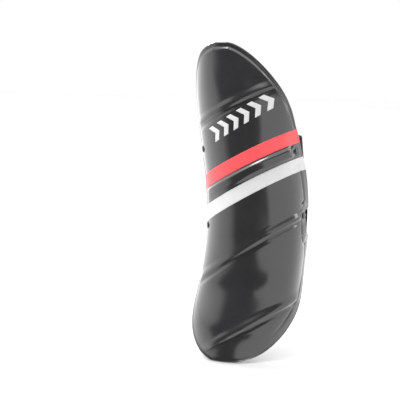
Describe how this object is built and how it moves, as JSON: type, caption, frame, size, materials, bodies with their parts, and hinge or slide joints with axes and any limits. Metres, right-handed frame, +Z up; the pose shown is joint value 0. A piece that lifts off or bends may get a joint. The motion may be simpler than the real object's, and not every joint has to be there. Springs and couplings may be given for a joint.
{
  "type": "ski racing shin guard",
  "caption": "Hard moulded shell that wraps the front of the lower leg over a removable foam liner, held on by elastic straps that open at the back.",
  "frame": {"origin": "on the ground plane under the shell: z = 0 is the flat bottom edge, x = 0 and y = 0 run through the leg space", "axes": "+Z up the shin, front of the shell faces -Y, +X is the outer side of a right leg"},
  "size_m": [0.1398, 0.1396, 0.4],
  "materials": {
    "shell_plastic": "gloss",
    "red_film": "gloss",
    "white_film": "gloss",
    "foam": "matte",
    "liner_fabric": "matte",
    "binding_tape": "matte",
    "hook_tape": "matte",
    "webbing": "matte",
    "elastic": "matte",
    "grip_rubber": "matte",
    "rivet_metal": "satin"
  },
  "bodies": {
    "guard": {"shell": "shell_plastic", "red_stripe": "red_film", "white_stripe": "white_film", "mark": "white_film", "liner_backing": "liner_fabric", "liner_foam": "foam", "liner_face": "liner_fabric", "liner_binding": "binding_tape", "knee_pad": "liner_fabric", "instep_pad": "liner_fabric", "hook_patches": "hook_tape", "rivets": "rivet_metal", "rivet_washers": "rivet_metal", "anchor_tab_upper": "webbing", "anchor_tab_lower": "webbing", "loop_tab_upper": "hook_tape", "loop_tab_lower": "hook_tape"},
    "band_upper": {"elastic_band_upper": "elastic"},
    "strap_end_upper": {"hook_tab_upper": "hook_tape", "pull_grip_upper": "grip_rubber"},
    "band_lower": {"elastic_band_lower": "elastic"},
    "strap_end_lower": {"hook_tab_lower": "hook_tape", "pull_grip_lower": "grip_rubber"}
  },
  "joints": [
    {"name": "strap_open_upper", "type": "hinge", "parent": "guard", "child": "band_upper", "pos_m": [0.06791, 0.00781, 0.266], "axis": [0.0881, -0.0022, -0.9961], "range_deg": [0, 110]},
    {"name": "end_peel_upper", "type": "hinge", "parent": "band_upper", "child": "strap_end_upper", "pos_m": [-0.05233, 0.03038, 0.266], "axis": [0.1247, -0.0019, -0.9922], "range_deg": [0, 100]},
    {"name": "strap_open_lower", "type": "hinge", "parent": "guard", "child": "band_lower", "pos_m": [0.06708, 0.02934, 0.174], "axis": [-0.0237, -0.0028, -0.9997], "range_deg": [0, 110]},
    {"name": "end_peel_lower", "type": "hinge", "parent": "band_lower", "child": "strap_end_lower", "pos_m": [-0.04688, 0.03017, 0.174], "axis": [-0.0364, -0.0027, -0.9993], "range_deg": [0, 100]}
  ]
}
